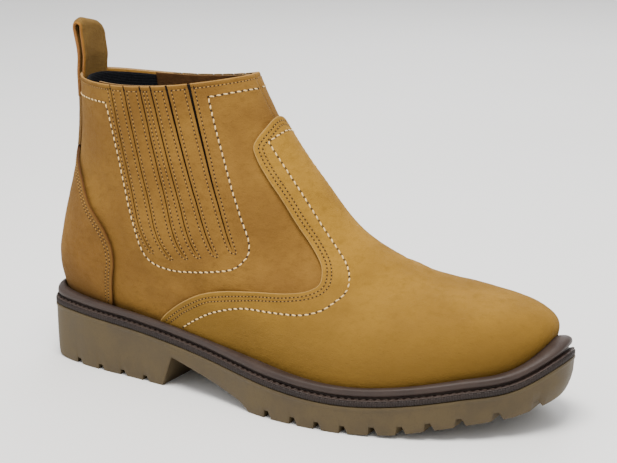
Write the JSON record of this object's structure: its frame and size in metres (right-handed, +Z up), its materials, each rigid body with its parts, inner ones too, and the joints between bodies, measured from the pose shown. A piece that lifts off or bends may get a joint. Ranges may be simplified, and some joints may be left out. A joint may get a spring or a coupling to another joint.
{
  "type": "steel toe work boot",
  "caption": "Right pull-on safety boot in golden nubuck with a steel toe cap, slit elastic side panels, storm welt, lugged rubber sole, lifting footbed and a hinged heel pull tab.",
  "frame": {"origin": "on the ground, under the middle of the boot's bounding box", "axes": "+X towards the toe, +Y towards the inner (medial) side, +Z up"},
  "size_m": [0.3, 0.1071, 0.1868],
  "materials": {
    "nubuck": "waxed golden-brown nubuck, fine nap, darker towards the sole, raw cut edges",
    "tab_leather": "doubled nubuck strap with a raw tan cut edge",
    "facing_leather": "smooth brown facing leather inside the collar",
    "elastic": "ribbed woven elastic, dark brown",
    "lining_cloth": "dark navy mesh lining",
    "steel": "pressed and lacquered steel",
    "edge_rubber": "soft matt rubber edging",
    "fibre_board": "pressed fibre board",
    "cork": "cork granules in binder",
    "footbed_foam": "textile-covered foam footbed",
    "sole_rubber": "moulded tan rubber, matt",
    "band_rubber": "finely ribbed dark brown rubber",
    "welt_rubber": "smooth brown rubber with a soft sheen",
    "heavy_thread": "heavy cream sewing thread, twisted",
    "welt_thread_cotton": "dark brown welt thread"
  },
  "bodies": {
    "boot": {"backstay_strip": "nubuck", "collar_facing": "facing_leather", "forefoot_filler": "cork", "gore_elastic_lateral": "elastic", "gore_elastic_medial": "elastic", "gore_thread_lateral": "heavy_thread", "gore_thread_medial": "heavy_thread", "heel_counter_cover": "nubuck", "heel_stiffener": "fibre_board", "insole_board": "fibre_board", "midsole": "band_rubber", "outsole": "sole_rubber", "pull_tab_inner_end": "tab_leather", "quarter_lateral": "nubuck", "quarter_medial": "nubuck", "shaft_lining": "lining_cloth", "steel_shank": "steel", "steel_toe_cap": "steel", "toe_cap_edge_strip": "edge_rubber", "vamp": "nubuck", "vamp_lining": "lining_cloth", "vamp_thread": "heavy_thread", "waist_filler": "cork", "welt": "welt_rubber", "welt_thread": "welt_thread_cotton"},
    "pull_tab": {"pull_tab": "tab_leather"},
    "footbed": {"footbed": "footbed_foam"}
  },
  "joints": [
    {"name": "pull_tab_bend", "type": "hinge", "parent": "boot", "child": "pull_tab", "pos_m": [-0.1264, 0.0052, 0.16], "axis": [0, 1, 0], "range_deg": [-25, 25], "stiffness_Nm_per_rad": 0.02},
    {"name": "footbed_lift", "type": "hinge", "parent": "boot", "child": "footbed", "pos_m": [0.1298, 0.0052, 0.0392], "axis": [0, 1, 0], "range_deg": [0, 5]}
  ]
}
